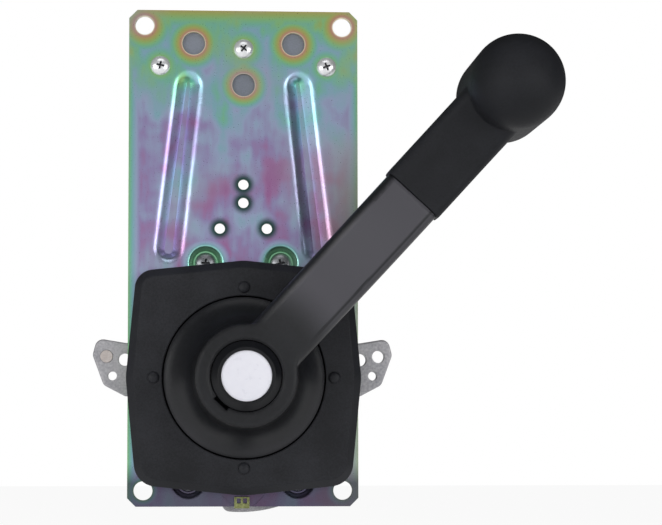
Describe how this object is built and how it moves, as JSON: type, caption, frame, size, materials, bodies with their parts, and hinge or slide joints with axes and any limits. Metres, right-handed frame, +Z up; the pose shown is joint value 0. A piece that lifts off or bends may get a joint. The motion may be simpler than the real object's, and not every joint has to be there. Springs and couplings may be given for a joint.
{
  "type": "boat throttle control lever",
  "caption": "Side-mount single-lever boat throttle and shift control: recessed pressed plate, bowed cover, swept lever with T-grip, pull button and cable arms.",
  "frame": {"origin": "on the lever shaft's axis, in the front face of the mounting plate", "axes": "+Z up along the plate, -Y out of the plate towards the helmsman, +X to the right seen from the front"},
  "size_m": [0.2109, 0.152, 0.2426],
  "materials": {
    "chromated_steel": "yellow zinc chromate on pressed steel, iridescent",
    "grey_plastic": "grey glass-filled nylon, as moulded",
    "black_plastic": "black ABS with a fine moulded grain",
    "black_casting": "satin black powder coat on die-cast aluminium",
    "black_rubber": "matte black moulded rubber",
    "white_insert": "glossy white insert, bare",
    "zinc_steel": "bright zinc plated steel",
    "cast_zinc": "grey die-cast zinc alloy, as cast",
    "spring_steel": "oiled spring steel",
    "bearing_plastic": "natural acetal",
    "yellow_zinc": "yellow zinc chromate"
  },
  "bodies": {
    "frame": {"mounting_plate": "chromated_steel", "cable_anchor_block": "grey_plastic", "anchor_screws": "zinc_steel", "cable_grub_screws": "zinc_steel", "cover": "black_plastic", "cover_rivets": "black_plastic", "cover_clip": "yellow_zinc", "housing": "cast_zinc", "housing_screws": "zinc_steel", "housing_spacers": "zinc_steel", "front_bush": "bearing_plastic", "rear_bush": "bearing_plastic", "detent_ball": "spring_steel", "detent_spring": "spring_steel", "detent_plug": "zinc_steel", "brake_pad": "bearing_plastic", "brake_screw": "zinc_steel"},
    "shift_arm": {"shift_arm": "cast_zinc", "shift_cable_pin": "zinc_steel", "shift_pin_clip": "spring_steel"},
    "lever": {"main_shaft": "zinc_steel", "drive_pin": "spring_steel", "throttle_crank": "cast_zinc", "throttle_cable_pin": "zinc_steel", "throttle_pin_clip": "spring_steel", "shaft_washer": "zinc_steel", "shaft_nut": "zinc_steel", "lever": "black_casting", "lever_nut": "zinc_steel", "grip": "black_rubber", "button_spring": "spring_steel", "spring_cap": "bearing_plastic"},
    "hub_button": {"hub_button": "black_plastic", "button_disc": "white_insert"}
  },
  "joints": [
    {"name": "shift", "type": "hinge", "parent": "frame", "child": "shift_arm", "pos_m": [0, 0, 0], "axis": [0, 1, 0], "range_deg": [-32, 32]},
    {"name": "throttle", "type": "hinge", "parent": "shift_arm", "child": "lever", "pos_m": [0, 0, 0], "axis": [0, 1, 0], "range_deg": [-60, 60]},
    {"name": "warm_up_pull", "type": "slide", "parent": "lever", "child": "hub_button", "axis": [0, -1, 0], "range_m": [0, 0.006], "stiffness_N_per_m": 500, "deforming": ["button_spring"]}
  ]
}
